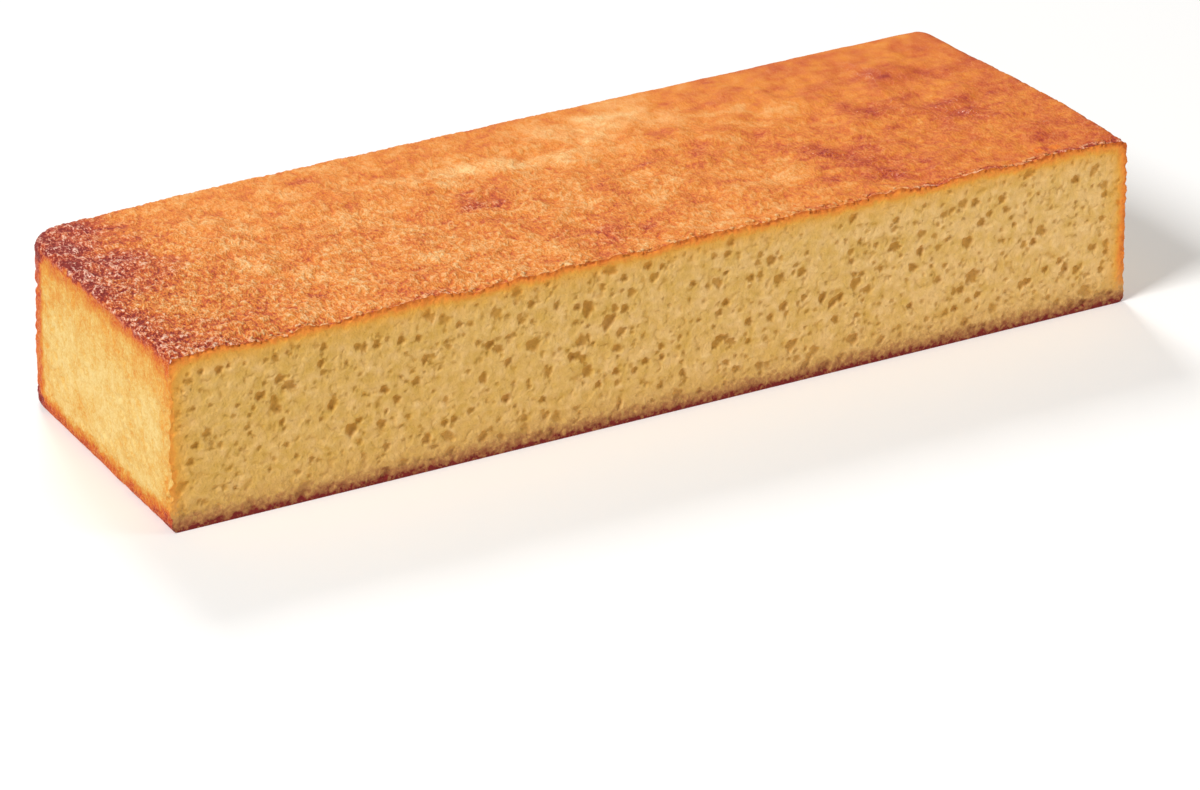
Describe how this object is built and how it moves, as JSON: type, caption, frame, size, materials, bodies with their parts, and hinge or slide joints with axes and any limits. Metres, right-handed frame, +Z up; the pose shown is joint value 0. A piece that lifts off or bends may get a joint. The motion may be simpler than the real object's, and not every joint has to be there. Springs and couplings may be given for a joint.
{
  "type": "sheet cake",
  "caption": "Long half of a plain sponge sheet cake: browned top crust, baked ends and back, and one flat cut face of open yellow crumb.",
  "frame": {"origin": "middle of the slab's box, on the plane it rests on", "axes": "+X along the slab's length, +Y from the cut face towards the baked back, +Z up through the browned top"},
  "size_m": [0.3336, 0.1142, 0.0572],
  "materials": {
    "cake": "matte baked sponge: browned orange crust on top, golden baked walls, pale yellow porous crumb on the cut face"
  },
  "bodies": {
    "root": {"sheet_cake": "cake"}
  },
  "joints": []
}
